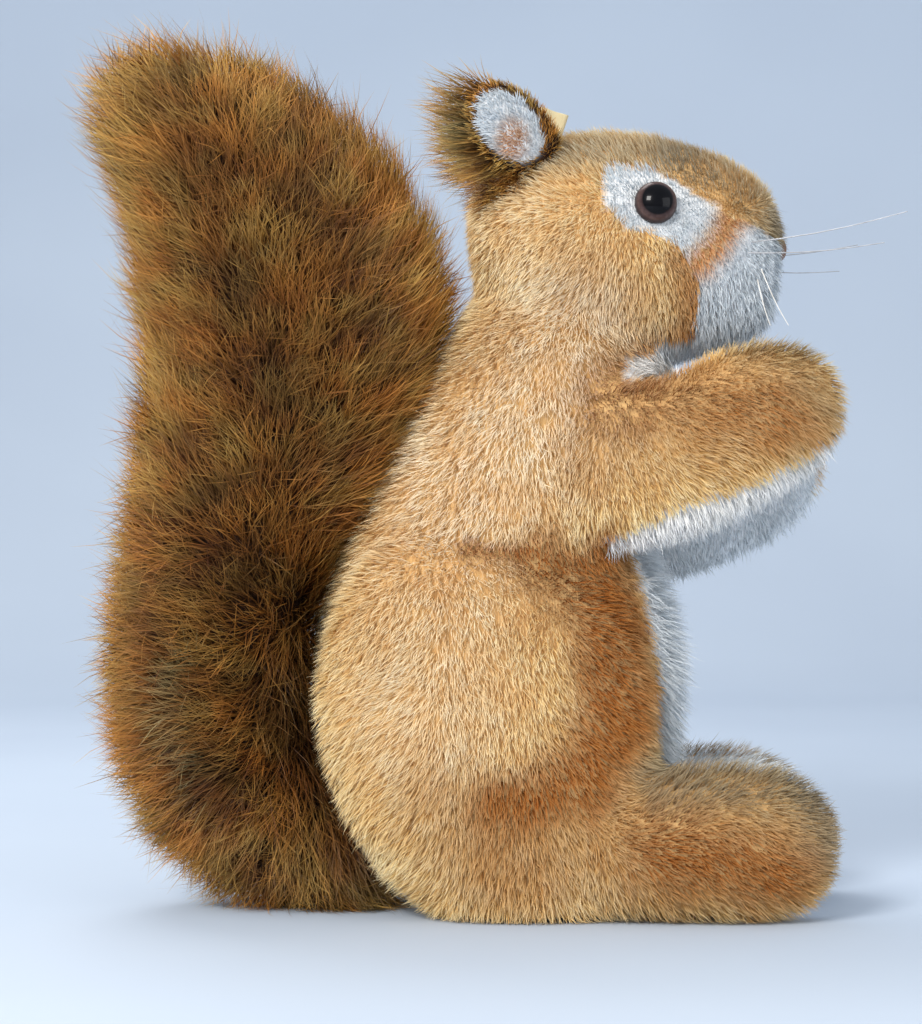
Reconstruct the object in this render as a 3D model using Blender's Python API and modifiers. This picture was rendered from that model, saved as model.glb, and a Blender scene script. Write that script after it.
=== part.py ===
"""A sitting plush squirrel of cut and sewn pile fabric: metres, +Z up, facing +X.

The origin is the middle of the flat seat, and the right flank is towards -Y. Each stuffed piece
is a closed form drawn over a run of oval sections. A piece that is sewn on, or let into another,
is cut to it with one seat gap.
"""

import math

import bmesh
import bpy
from mathutils import Matrix, Vector
from mathutils.bvhtree import BVHTree

# Torso: the pear-shaped body from the seat to the neck
TORSO_HEIGHT = 0.178
RUMP_DEPTH = 0.103
RUMP_WIDTH = 0.074
CHEST_DEPTH = 0.063
CHEST_WIDTH = 0.062
BELLY_PANEL_WIDTH = 0.044
BELLY_PANEL_DEPTH = 0.008

# Head, measured from the back of the skull to the nose
HEAD_LENGTH = 0.088
HEAD_HEIGHT = 0.067
HEAD_WIDTH = 0.068
HEAD_SETBACK = 0.025
HEAD_OVER_NECK = 0.009
MUZZLE_PANEL_LENGTH = 0.027
MUZZLE_PANEL_HEIGHT = 0.066
MUZZLE_PANEL_DROP = 0.017
EYE_PATCH_LENGTH = 0.040
EYE_PATCH_HEIGHT = 0.019
EYE_PATCH_DEPTH = 0.005
EYE_PATCH_SLOPE = 24.0
EYE_PATCH_FORWARD = 0.003

# Toy eyes: a domed head on a shank, held by a washer behind the fabric
EYE_DIAMETER = 0.012
EYE_DOME = 0.0048
EYE_SUNK = 0.0014
SHANK_DIAMETER = 0.003
SHANK_LENGTH = 0.011
WASHER_DIAMETER = 0.010
WASHER_THICKNESS = 0.0012
WASHER_DEPTH = 0.0065
EYE_FORWARD = 0.050
EYE_RISE = 0.0105

# Nose pad, whiskers and the plain tape in the seam of the left ear
NOSE_WIDTH = 0.009
NOSE_HEIGHT = 0.006
NOSE_DEPTH = 0.003
NOSE_RISE = 0.004
NOSE_SUNK = 0.0006
WHISKER_DIAMETER = 0.0004
WHISKER_LENGTH = 0.046
SHORT_WHISKER_LENGTH = 0.040
WHISKER_SPREAD = 0.013
WHISKER_BOW = 0.001
WHISKER_OVER_ARM = 0.004
LABEL_WIDTH = 0.009
LABEL_HEIGHT = 0.017
LABEL_THICKNESS = 0.0012
LABEL_INWARD = 0.007
LABEL_SEWN_IN = 0.006
LABEL_LEAN = 18.0

# Ears
EAR_LENGTH = 0.029
EAR_WIDTH = 0.022
EAR_THICKNESS = 0.0095
EAR_SPREAD = 0.017
EAR_SETBACK = 0.004
EAR_ROOT_RISE = 0.021
EAR_SPLAY = 0.010
EAR_LEAN = 45.0
EAR_LINING_LENGTH = 0.0235
EAR_LINING_WIDTH = 0.015
EAR_LINING_DEPTH = 0.0042

# Arms, reaching forward from the shoulders
ARM_LENGTH = 0.078
ARM_HEIGHT = 0.046
ARM_WIDTH = 0.030
ARM_RISE = 0.016
SHOULDER_HEIGHT = 0.127
SHOULDER_SPREAD = 0.016
ELBOW_SPREAD = 0.029
LEFT_ARM_DROP = 0.014
LINING_TILT = 35.0
ARM_LINING_OFFSET = 0.0025
ARM_LINING_LENGTH = 0.062

# Legs: a haunch against each flank, and a long foot on the ground
THIGH_HEIGHT = 0.106
THIGH_DEPTH = 0.098
THIGH_THICKNESS = 0.044
THIGH_SPREAD = 0.024
FOOT_LENGTH = 0.074
FOOT_HEIGHT = 0.044
FOOT_WIDTH = 0.034
FOOT_SPREAD = 0.027
FOOT_LINING_OFFSET = 0.003
FOOT_LINING_LENGTH = 0.041
SOLE_SUNK = 0.001

# Tail: a broad brush that stands up behind the back
TAIL_HEIGHT = 0.245
TAIL_BRUSH_DEPTH = 0.092
TAIL_STEM_DEPTH = 0.059
TAIL_WIDTH = 0.056
TAIL_REACH = 0.099

# Fits
SEAT_GAP = 0.0004
PIN_GAP = 0.0003
GROUND_DEPTH = 0.06

RING_POINTS = 10
TURNED_STEPS = 16
SIDES = (("right", -1.0), ("left", 1.0))

COLOURS = {
    "tan_pile": ((0.58, 0.37, 0.17), 0.85),
    "white_pile": ((0.80, 0.78, 0.74), 0.85),
    "brown_pile": ((0.14, 0.06, 0.018), 0.85),
    "eye_plastic": ((0.012, 0.008, 0.007), 0.08),
    "washer_plastic": ((0.75, 0.75, 0.72), 0.45),
    "nose_thread": ((0.16, 0.08, 0.05), 0.6),
    "whisker_nylon": ((0.55, 0.52, 0.47), 0.3),
    "label_tape": ((0.72, 0.66, 0.50), 0.9),
}


def clear_scene():
    for obj in list(bpy.data.objects):
        bpy.data.objects.remove(obj, do_unlink=True)


def new_collection(name):
    collection = bpy.data.collections.new(name)
    bpy.context.scene.collection.children.link(collection)
    return collection


def paint(obj, kind):
    """Gives the object a material of its own."""
    colour, roughness = COLOURS[kind]
    material = bpy.data.materials.new(f"{obj.name}_{kind}")
    material.use_nodes = True
    shader = material.node_tree.nodes["Principled BSDF"]
    shader.inputs["Base Color"].default_value = (*colour, 1.0)
    shader.inputs["Roughness"].default_value = roughness
    shader.inputs["Metallic"].default_value = 0.0
    obj.data.materials.clear()
    obj.data.materials.append(material)


def add_part(name, mesh, kind):
    obj = bpy.data.objects.new(name, mesh)
    PARTS.objects.link(obj)
    paint(obj, kind)
    return obj


def add_cutter(name, mesh):
    obj = bpy.data.objects.new(name, mesh)
    CUTTERS.objects.link(obj)
    obj.hide_render = True
    obj.display_type = "WIRE"
    return obj


def smooth_cage(obj):
    modifier = obj.modifiers.new("Stuffed", "SUBSURF")
    modifier.levels = 1
    modifier.render_levels = 1


def grow(obj, gap):
    """Moves the smooth surface out by the gap."""
    modifier = obj.modifiers.new("Clearance", "DISPLACE")
    modifier.direction = "NORMAL"
    modifier.mid_level = 0.0
    modifier.strength = gap


def boolean(obj, operation, other):
    modifier = obj.modifiers.new(f"{operation.title()} {other.name}", "BOOLEAN")
    modifier.operation = operation
    modifier.solver = "EXACT"
    modifier.object = other


def cut(obj, *others):
    for other in others:
        boolean(obj, "DIFFERENCE", other)


def stuffed_mesh(name, stations):
    """A closed cage over oval sections. A station is (centre, half size in the side view, half width)."""
    swell = 1 / math.cos(math.pi / RING_POINTS)
    centres = [Vector(station[0]) for station in stations]
    mesh = bmesh.new()
    rings = []
    for place, (_, half_long, half_wide) in enumerate(stations):
        run = centres[min(place + 1, len(centres) - 1)] - centres[max(place - 1, 0)]
        run.y = 0
        run.normalize()
        upright = Vector((run.z, 0, -run.x)) * half_long * swell
        sideways = Vector((0, half_wide * swell, 0))
        ring = []
        for step in range(RING_POINTS):
            turn = 2 * math.pi * step / RING_POINTS
            offset = upright * math.cos(turn) + sideways * math.sin(turn)
            ring.append(mesh.verts.new(centres[place] + offset))
        rings.append(ring)
    for low, high in zip(rings, rings[1:]):
        for step in range(RING_POINTS):
            after = (step + 1) % RING_POINTS
            mesh.faces.new((low[step], low[after], high[after], high[step]))
    mesh.faces.new(reversed(rings[0]))
    mesh.faces.new(rings[-1])
    return finished(name, mesh)


def finished(name, mesh):
    """The bmesh as mesh data, facing out and shaded smooth."""
    bmesh.ops.recalc_face_normals(mesh, faces=mesh.faces)
    data = bpy.data.meshes.new(name)
    mesh.to_mesh(data)
    mesh.free()
    data.shade_smooth()
    return data


def stuffed_part(name, stations, kind):
    obj = add_part(name, stuffed_mesh(name, stations), kind)
    smooth_cage(obj)
    return obj


def ball_mesh(name, halves):
    mesh = bmesh.new()
    bmesh.ops.create_uvsphere(mesh, u_segments=16, v_segments=10, radius=1.0)
    bmesh.ops.scale(mesh, vec=halves, verts=mesh.verts)
    return finished(name, mesh)


def ball_cutter(name, centre, halves, slope=0.0):
    """A hidden ellipsoid. The slope, in degrees, tips its front down in the side view."""
    obj = add_cutter(name, ball_mesh(name, halves))
    obj.location = centre
    obj.rotation_euler = (0, math.radians(slope), 0)
    return obj


def box_mesh(name, size):
    mesh = bmesh.new()
    bmesh.ops.create_cube(mesh, size=1.0)
    bmesh.ops.scale(mesh, vec=size, verts=mesh.verts)
    return finished(name, mesh)


def seat_of(obj):
    """A hidden copy of the form before any cut, larger all round by the seat gap."""
    seat = add_cutter(obj.name + "_seat", obj.data.copy())
    seat.matrix_world = obj.matrix_world
    for modifier in obj.modifiers:
        if modifier.type == "SUBSURF":
            smooth_cage(seat)
        elif modifier.type == "SCREW":
            turn_profile(seat)
    grow(seat, SEAT_GAP)
    return seat


def inlay(host, cutter, name, kind, seats=()):
    """Makes what the cutter holds of the host a panel of its own, and returns it with its bed."""
    panel = add_part(name, host.data.copy(), kind)
    smooth_cage(panel)
    cut(panel, *seats)
    boolean(panel, "INTERSECT", cutter)
    bed = add_cutter(cutter.name + "_bed", cutter.data)
    bed.location = cutter.location
    bed.rotation_euler = cutter.rotation_euler
    if cutter.modifiers:
        smooth_cage(bed)
    grow(bed, SEAT_GAP)
    cut(host, bed)
    return panel, bed


def turn_profile(obj):
    modifier = obj.modifiers.new("Turned", "SCREW")
    modifier.steps = TURNED_STEPS
    modifier.render_steps = TURNED_STEPS
    modifier.use_merge_vertices = True
    modifier.merge_threshold = 0.00001


def turned_mesh(name, profile, closed=False):
    """A profile of (radius, height) points, run down its outer side."""
    mesh = bpy.data.meshes.new(name)
    edges = [(point, point + 1) for point in range(len(profile) - 1)]
    if closed:
        edges.append((len(profile) - 1, 0))
    mesh.from_pydata([(radius, 0, height) for radius, height in profile], edges, [])
    return mesh


def turned_part(name, profile, kind, closed=False):
    obj = add_part(name, turned_mesh(name, profile, closed), kind)
    turn_profile(obj)
    return obj


def surface_of(obj):
    bpy.context.view_layer.update()
    return BVHTree.FromObject(obj, bpy.context.evaluated_depsgraph_get())


def point_on(surface, start, direction):
    """Where a line from outside meets the surface, and the surface's normal there."""
    place, normal, _, _ = surface.ray_cast(Vector(start), Vector(direction).normalized())
    return place, normal


def aim(obj, place, outward):
    """Stands a turned piece on the place with its axis outward."""
    turn = Vector((0, 0, 1)).rotation_difference(outward).to_matrix().to_4x4()
    obj.matrix_world = Matrix.Translation(place) @ turn


def torso_stations():
    # Each row: height, place of the centre and size, as shares of the torso's and the rump's sizes
    rump = (
        (-0.03, 0.06, 0.34),
        (0.05, 0.04, 0.58),
        (0.17, -0.12, 0.86),
        (0.335, -0.185, 1.0),
        (0.48, -0.20, 0.96),
    )
    chest = (
        (0.605, -0.165, 1.26),
        (0.73, -0.09, 1.08),
        (0.835, -0.015, 1.02),
        (0.925, 0.03, 0.95),
        (1.0, 0.08, 0.66),
    )
    stations = []
    for shares, depth, width in ((rump, RUMP_DEPTH, RUMP_WIDTH), (chest, CHEST_DEPTH, CHEST_WIDTH)):
        for rise, setback, size in shares:
            centre = (setback * RUMP_DEPTH, 0, rise * TORSO_HEIGHT)
            stations.append((centre, size * depth / 2, min(size, 1.06) * width / 2))
    return stations


def belly_stations():
    """A flat run down the torso's front, from below the chin to between the legs."""
    sections = torso_stations()[1:9]
    widths = (0.30, 0.72, 0.98, 1.0, 0.92, 0.84, 0.74, 0.40)
    stations = []
    for (centre, half_long, _), width in zip(sections, widths):
        front = (centre[0] + half_long, 0, centre[2])
        stations.append((front, width * BELLY_PANEL_DEPTH, width * BELLY_PANEL_WIDTH / 2))
    return stations


def head_centre():
    """The middle of the skull, carried by the top of the neck."""
    return Vector((0, 0, TORSO_HEIGHT + HEAD_OVER_NECK))


def head_stations():
    # Each row: place along the head, rise of the centre, height and width, as shares of its sizes
    shares = (
        (0.00, -0.045, 0.42, 0.44),
        (0.08, -0.030, 0.74, 0.74),
        (0.24, 0.000, 0.97, 0.94),
        (0.44, 0.015, 1.00, 1.00),
        (0.65, 0.000, 0.95, 0.93),
        (0.82, -0.030, 0.82, 0.72),
        (0.93, -0.058, 0.68, 0.54),
        (1.00, -0.055, 0.40, 0.32),
    )
    middle = head_centre()
    stations = []
    for along, rise, height, width in shares:
        centre = (middle.x - HEAD_SETBACK + along * HEAD_LENGTH, 0, middle.z + rise * HEAD_HEIGHT)
        stations.append((centre, height * HEAD_HEIGHT / 2, width * HEAD_WIDTH / 2))
    return stations


def arm_stations(side):
    # Each row: place along the arm, spread to the elbow, rise to the paw, height and width
    drop = LEFT_ARM_DROP if side > 0 else 0.0
    shares = (
        (-0.10, 0.00, 0.10, 0.78, 0.66),
        (0.10, 0.55, -0.04, 1.08, 0.92),
        (0.30, 1.00, 0.04, 1.08, 1.00),
        (0.50, 0.95, 0.38, 1.02, 1.00),
        (0.71, 0.70, 0.80, 0.92, 0.96),
        (0.89, 0.35, 1.00, 0.72, 0.76),
        (1.00, 0.25, 1.02, 0.36, 0.40),
    )
    stations = []
    for along, spread, rise, height, width in shares:
        bow = SHOULDER_SPREAD + spread * (ELBOW_SPREAD - SHOULDER_SPREAD)
        height_up = SHOULDER_HEIGHT - drop * (1 + along) / 2 + rise * ARM_RISE
        centre = (along * ARM_LENGTH, side * bow, height_up)
        stations.append((centre, height * ARM_HEIGHT / 2, width * ARM_WIDTH / 2))
    return stations


def thigh_stations(side):
    # Each row: height, place of the centre and size, as shares of the thigh's sizes
    shares = (
        (0.00, 0.14, 0.30),
        (0.09, 0.06, 0.58),
        (0.27, -0.13, 0.90),
        (0.53, -0.225, 1.0),
        (0.76, -0.255, 0.90),
        (0.92, -0.255, 0.64),
        (1.00, -0.235, 0.30),
    )
    stations = []
    for rise, setback, size in shares:
        centre = (setback * THIGH_DEPTH, side * THIGH_SPREAD, rise * THIGH_HEIGHT)
        stations.append((centre, size * THIGH_DEPTH / 2, size * THIGH_THICKNESS / 2))
    return stations


def foot_stations(side):
    # Each row: place along the foot, height and width
    shares = (
        (0.00, 0.80, 0.86),
        (0.27, 0.92, 0.94),
        (0.54, 1.0, 1.0),
        (0.77, 1.0, 1.0),
        (0.92, 0.76, 0.78),
        (1.00, 0.38, 0.42),
    )
    stations = []
    for along, height, width in shares:
        centre = (along * FOOT_LENGTH, side * FOOT_SPREAD, FOOT_HEIGHT / 2 - SOLE_SUNK)
        stations.append((centre, height * FOOT_HEIGHT / 2, width * FOOT_WIDTH / 2))
    return stations


def tail_stations():
    # Each row: height, reach behind the seat, size in the side view and width
    stem = (
        (0.070, 0.42, 0.52, 0.50),
        (0.072, 0.69, 0.86, 0.74),
        (0.142, 0.945, 1.06, 0.92),
        (0.275, 1.0, 1.0, 0.98),
        (0.40, 0.955, 0.95, 1.0),
    )
    brush = (
        (0.515, 0.86, 0.76, 1.0),
        (0.625, 0.745, 0.94, 1.0),
        (0.73, 0.77, 1.0, 1.0),
        (0.82, 0.885, 0.84, 0.97),
        (0.88, 1.03, 0.63, 0.88),
        (0.935, 1.16, 0.43, 0.66),
        (0.97, 1.23, 0.25, 0.36),
    )
    stations = []
    for shares, depth in ((stem, TAIL_STEM_DEPTH), (brush, TAIL_BRUSH_DEPTH)):
        for rise, reach, size, width in shares:
            centre = (-reach * TAIL_REACH, 0, rise * TAIL_HEIGHT)
            stations.append((centre, size * depth / 2, width * TAIL_WIDTH / 2))
    return stations


def ear_stations(side):
    """From a root inside the skull, up and back to the tip."""
    lean = math.radians(EAR_LEAN)
    root = head_centre() + Vector((-EAR_SETBACK, side * EAR_SPREAD, EAR_ROOT_RISE))
    shares = ((0.0, 0.72, 0.9), (0.24, 0.9, 1.0), (0.52, 1.0, 1.0), (0.80, 0.82, 0.86), (1.0, 0.40, 0.5))
    stations = []
    for along, width, thickness in shares:
        reach = along * EAR_LENGTH
        centre = root + Vector((-reach * math.sin(lean), side * along * EAR_SPLAY, reach * math.cos(lean)))
        stations.append((centre, width * EAR_WIDTH / 2, thickness * EAR_THICKNESS / 2))
    return stations


def make_torso(ground):
    torso = stuffed_part("torso", torso_stations(), "tan_pile")
    seat = seat_of(torso)
    form = add_cutter("belly_form", stuffed_mesh("belly_form", belly_stations()))
    smooth_cage(form)
    panel, _ = inlay(torso, form, "belly_panel", "white_pile")
    cut(torso, ground)
    return torso, panel, seat


def make_head():
    head = stuffed_part("head", head_stations(), "tan_pile")
    seat = seat_of(head)
    surface = surface_of(head)
    nose_tip = Vector(head_stations()[-1][0])
    centre = nose_tip + Vector((0, 0, -MUZZLE_PANEL_DROP))
    halves = (MUZZLE_PANEL_LENGTH, HEAD_WIDTH / 2, MUZZLE_PANEL_HEIGHT / 2)
    _, muzzle_bed = inlay(head, ball_cutter("muzzle_form", centre, halves), "muzzle_panel", "white_pile")
    patches = {}
    for label, side in SIDES:
        place, _ = eye_place(surface, side)
        halves = (EYE_PATCH_LENGTH / 2, EYE_PATCH_DEPTH, EYE_PATCH_HEIGHT / 2)
        centre = place + Vector((EYE_PATCH_FORWARD, 0, 0))
        form = ball_cutter(f"eye_patch_form_{label}", centre, halves, EYE_PATCH_SLOPE)
        patches[label], _ = inlay(head, form, f"eye_patch_{label}", "white_pile")
        cut(patches[label], muzzle_bed)
    return head, patches, seat, surface


def eye_place(surface, side):
    middle = head_centre()
    start = middle + Vector((EYE_FORWARD - HEAD_SETBACK, side * HEAD_WIDTH, EYE_RISE))
    return point_on(surface, start, (0, -side, 0))


def make_eye(label, side, surface, head, patch):
    """The domed eye with its shank, and the washer that holds it behind the fabric."""
    place, outward = eye_place(surface, side)
    radius = EYE_DIAMETER / 2
    dome = [(0.0, EYE_DOME - EYE_SUNK)]
    for turn in (75, 60, 45, 30, 15, 0):
        out = radius * math.cos(math.radians(turn))
        dome.append((out, EYE_DOME * math.sin(math.radians(turn)) - EYE_SUNK))
    dome.append((SHANK_DIAMETER / 2, -EYE_SUNK))
    dome += [(SHANK_DIAMETER / 2, -SHANK_LENGTH), (0.0, -SHANK_LENGTH)]
    eye = turned_part(f"eye_{label}", dome, "eye_plastic")
    aim(eye, place, outward)
    inner = SHANK_DIAMETER / 2 + PIN_GAP
    outer = WASHER_DIAMETER / 2
    top = -WASHER_DEPTH
    low = top - WASHER_THICKNESS
    ring = ((inner, top), (outer, top), (outer, low), (inner, low))
    washer = turned_part(f"eye_washer_{label}", ring, "washer_plastic", closed=True)
    aim(washer, place, outward)
    eye_seat = seat_of(eye)
    cut(head, eye_seat, seat_of(washer))
    cut(patch, eye_seat)


def make_nose(head_seat):
    tip = Vector(head_stations()[-1][0]) + Vector((-NOSE_SUNK, 0, NOSE_RISE))
    halves = (NOSE_DEPTH, NOSE_WIDTH / 2, NOSE_HEIGHT / 2)
    nose = add_part("nose", ball_mesh("nose", halves), "nose_thread")
    nose.location = tip
    cut(nose, head_seat)


def make_whiskers(surface):
    """Stiff threads rooted just off the side of the muzzle: two reach forward, two hang to the arm."""
    nose_tip = Vector(head_stations()[-1][0])
    paw, half_high, _ = arm_stations(-1.0)[-2]
    hang_to = paw[2] + half_high + WHISKER_OVER_ARM
    forward = ((-0.011, 0.004, 0.13, WHISKER_LENGTH), (-0.012, 0.001, 0.02, SHORT_WHISKER_LENGTH))
    hanging = ((-0.008, -0.003, 0.006), (-0.009, -0.006, 0.002))
    for label, side in SIDES:
        for number, (back, rise, climb, length) in enumerate(forward, 1):
            root = whisker_root(surface, nose_tip + Vector((back, 0, rise)), side)
            heading = Vector((0.86, side * 0.50, climb)).normalized()
            whisker(f"whisker_{label}_{number}", root, root + heading * length)
        for number, (back, rise, ahead) in enumerate(hanging, 3):
            root = whisker_root(surface, nose_tip + Vector((back, 0, rise)), side)
            end = Vector((root.x + ahead, root.y + side * WHISKER_SPREAD, hang_to))
            whisker(f"whisker_{label}_{number}", root, end)


def whisker_root(surface, place, side):
    start = place + Vector((0, side * HEAD_WIDTH, 0))
    root, outward = point_on(surface, start, (0, -side, 0))
    return root + outward * (SEAT_GAP + WHISKER_DIAMETER / 2)


def whisker(name, root, end):
    curve = bpy.data.curves.new(name, "CURVE")
    curve.dimensions = "3D"
    curve.bevel_depth = WHISKER_DIAMETER / 2
    curve.bevel_resolution = 0
    curve.use_fill_caps = True
    points = 6
    spline = curve.splines.new("POLY")
    spline.points.add(points - 1)
    for step in range(points):
        reach = step / (points - 1)
        bow = WHISKER_BOW * math.sin(math.pi * reach)
        spline.points[step].co = (*(root.lerp(end, reach) - Vector((0, 0, bow))), 1.0)
        spline.points[step].radius = 1.0 - 0.4 * reach
    add_part(name, curve, "whisker_nylon")


def make_ears(head_seat):
    seats = {}
    for label, side in SIDES:
        ear = stuffed_part(f"ear_back_{label}", ear_stations(side), "brown_pile")
        seats[label] = seat_of(ear)
        middle = Vector(ear_stations(side)[2][0])
        centre = middle + Vector((0, side * EAR_THICKNESS / 2, 0))
        halves = (EAR_LINING_WIDTH / 2, EAR_LINING_DEPTH, EAR_LINING_LENGTH / 2)
        form = ball_cutter(f"ear_lining_form_{label}", centre, halves, -EAR_LEAN)
        form.rotation_euler.x = -side * math.atan2(EAR_SPLAY, EAR_LENGTH)
        lining, _ = inlay(ear, form, f"ear_lining_{label}", "white_pile")
        cut(ear, head_seat)
        cut(lining, head_seat)
    return seats


def make_label(head_seat, ear_seat, head_surface):
    """A plain tape in the seam in front of the left ear's root."""
    root = Vector(ear_stations(1.0)[0][0])
    start = root + Vector((0, -LABEL_INWARD, HEAD_HEIGHT))
    place, _ = point_on(head_surface, start, (0, 0, -1))
    size = (LABEL_WIDTH, LABEL_THICKNESS, LABEL_HEIGHT)
    label = add_part("ear_label", box_mesh("ear_label", size), "label_tape")
    label.location = place + Vector((0, 0, LABEL_HEIGHT / 2 - LABEL_SEWN_IN))
    label.rotation_euler = (0, math.radians(LABEL_LEAN), 0)
    cut(label, head_seat, ear_seat)


def make_arm(label, side, seats):
    stations = arm_stations(side)
    arm = stuffed_part(f"arm_{label}", stations, "tan_pile")
    tip = Vector(stations[-1][0])
    middle = Vector(stations[3][0])
    middle.x = tip.x
    size = (2 * ARM_LINING_LENGTH, ARM_HEIGHT, 3 * ARM_HEIGHT)
    form = add_cutter(f"arm_lining_form_{label}", box_mesh("arm_lining_form", size))
    inward = Vector((0, -side, 0)) * math.cos(math.radians(LINING_TILT))
    inward.z = -math.sin(math.radians(LINING_TILT))
    form.location = middle + inward * (ARM_HEIGHT / 2 + ARM_LINING_OFFSET)
    form.rotation_euler = (side * math.radians(LINING_TILT), 0, 0)
    cut(arm, *seats)
    inlay(arm, form, f"arm_lining_{label}", "white_pile", seats)


def make_leg(label, side, ground, torso_seat):
    leg = stuffed_part(f"leg_{label}", thigh_stations(side), "tan_pile")
    thigh_seat = seat_of(leg)
    foot = add_cutter(f"foot_form_{label}", stuffed_mesh("foot_form", foot_stations(side)))
    smooth_cage(foot)
    foot_seat = seat_of(foot)
    size = (2 * FOOT_LINING_LENGTH, FOOT_WIDTH, 3 * FOOT_HEIGHT)
    lining_form = add_cutter(f"foot_lining_form_{label}", box_mesh("foot_lining_form", size))
    inner = side * (FOOT_SPREAD - FOOT_LINING_OFFSET - FOOT_WIDTH / 2)
    lining_form.location = (FOOT_LENGTH, inner, FOOT_HEIGHT / 2)
    lining, _ = inlay(foot, lining_form, f"foot_lining_{label}", "white_pile")
    boolean(leg, "UNION", foot)
    for piece in (leg, lining):
        cut(piece, torso_seat, ground)
    cut(lining, thigh_seat)
    return thigh_seat, foot_seat


def ground_cutter():
    ground = add_cutter("ground", box_mesh("ground", (0.6, 0.4, GROUND_DEPTH)))
    ground.location = (0, 0, -GROUND_DEPTH / 2)
    return ground


def make_squirrel():
    ground = ground_cutter()
    torso, belly, torso_seat = make_torso(ground)
    head, patches, head_seat, head_surface = make_head()
    cut(torso, head_seat)
    cut(belly, head_seat, ground)
    for label, side in SIDES:
        make_eye(label, side, head_surface, head, patches[label])
    make_nose(head_seat)
    make_whiskers(head_surface)
    ear_seats = make_ears(head_seat)
    make_label(head_seat, ear_seats["left"], head_surface)
    behind = [torso_seat, head_seat]
    for label, side in SIDES:
        thigh_seat, foot_seat = make_leg(label, side, ground, torso_seat)
        make_arm(label, side, (torso_seat, head_seat, thigh_seat))
        behind += [thigh_seat, foot_seat]
    tail = stuffed_part("tail", tail_stations(), "brown_pile")
    cut(tail, ground, *behind)


clear_scene()
PARTS = new_collection("plush_squirrel")
CUTTERS = new_collection("cutters")
make_squirrel()
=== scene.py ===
"""Dresses the plush squirrel: padded skins under a pile of real strands, glossy eyes and a plain studio."""
import math
from functools import partial

import bmesh
import bpy
import numpy as np
from mathutils import Matrix, Vector
from mathutils.bvhtree import BVHTree


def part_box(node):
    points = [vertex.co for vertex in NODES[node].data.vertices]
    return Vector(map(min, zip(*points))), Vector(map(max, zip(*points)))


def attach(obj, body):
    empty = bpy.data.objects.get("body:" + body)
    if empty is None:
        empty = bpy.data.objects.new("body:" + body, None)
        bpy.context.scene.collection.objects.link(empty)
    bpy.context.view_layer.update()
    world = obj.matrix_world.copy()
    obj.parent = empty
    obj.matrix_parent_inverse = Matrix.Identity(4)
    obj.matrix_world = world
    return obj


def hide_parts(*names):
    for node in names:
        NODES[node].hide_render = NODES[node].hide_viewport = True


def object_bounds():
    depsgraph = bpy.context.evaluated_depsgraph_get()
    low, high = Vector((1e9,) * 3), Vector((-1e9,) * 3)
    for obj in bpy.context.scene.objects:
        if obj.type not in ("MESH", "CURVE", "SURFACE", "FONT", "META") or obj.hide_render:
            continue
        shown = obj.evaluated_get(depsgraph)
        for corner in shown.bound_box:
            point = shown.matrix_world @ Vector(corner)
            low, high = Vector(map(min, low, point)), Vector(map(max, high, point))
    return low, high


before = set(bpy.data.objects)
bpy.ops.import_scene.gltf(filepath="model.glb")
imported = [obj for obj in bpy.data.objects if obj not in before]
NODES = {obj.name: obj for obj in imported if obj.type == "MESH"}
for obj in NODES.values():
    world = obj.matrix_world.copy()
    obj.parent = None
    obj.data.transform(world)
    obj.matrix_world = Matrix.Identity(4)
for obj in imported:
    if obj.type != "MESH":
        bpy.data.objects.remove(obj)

CAD_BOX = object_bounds()
MM = 0.001
SIDES = (("right", -1.0), ("left", 1.0))

BODY_NODES = ["torso", "belly_panel", "head", "muzzle_panel"]
for label, _ in SIDES:
    BODY_NODES += [f"{kind}_{label}" for kind in ("eye_patch", "arm", "arm_lining", "leg", "foot_lining")]

# Lengths and widths of the pile in metres, and how many strands it has
PLUSH_LENGTH = 0.0048
PLUSH_WIDTH = 0.00028
BRUSH_LENGTH = 0.0178
BRUSH_WIDTH = 0.00032
EAR_TUFT_LENGTH = 0.0078
BODY_STRANDS = 196000
TAIL_STRANDS = 58000
EAR_STRANDS = 4600
BLADES_PER_PIECE = 65536

# How far the skins lie inside the solids, and what stays free above the floor, in metres
BODY_INSET = 0.0016
TAIL_INSET = 0.0055
EAR_INSET = 0.0006
FLOOR_CLEARANCE = 0.0003

# The farthest that the pile may stand out of the frame's box: 3% of each side and 8.5 mm
PROUD = [0.03 * (high - low) + 0.0085 for low, high in zip(*CAD_BOX)]
REACH_LOW = np.array([low - proud for low, proud in zip(CAD_BOX[0], PROUD)])
REACH_HIGH = np.array([high + proud for high, proud in zip(CAD_BOX[1], PROUD)])


# Small helpers

def srgb(red, green, blue):
    """A colour of 0 to 255 values as the linear values that a shader takes."""
    out = []
    for value in (red, green, blue):
        value /= 255.0
        out.append(value / 12.92 if value <= 0.04045 else ((value + 0.055) / 1.055) ** 2.4)
    return (*out, 1.0)


def unit(vectors):
    return vectors / np.maximum(np.linalg.norm(vectors, axis=1, keepdims=True), 1e-9)


def ramp(values, low, high):
    """0 below low, 1 above high, and smooth in between."""
    share = np.clip((values - low) / (high - low), 0.0, 1.0)
    return share * share * (3.0 - 2.0 * share)


def link(obj):
    bpy.context.scene.collection.objects.link(obj)
    return obj


def evaluated(obj):
    """The mesh of an object with its modifiers applied, which takes the place of its own mesh."""
    depsgraph = bpy.context.evaluated_depsgraph_get()
    mesh = bpy.data.meshes.new_from_object(obj.evaluated_get(depsgraph))
    obj.modifiers.clear()
    obj.data = mesh
    return mesh


def corners(mesh):
    places = np.empty(len(mesh.vertices) * 3)
    mesh.vertices.foreach_get("co", places)
    return places.reshape(-1, 3)


def normals_of(mesh):
    out = np.empty(len(mesh.vertices) * 3)
    mesh.vertex_normals.foreach_get("vector", out)
    return out.reshape(-1, 3)


def set_corners(mesh, places):
    mesh.vertices.foreach_set("co", places.astype(np.float32).ravel())
    mesh.update()


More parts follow.
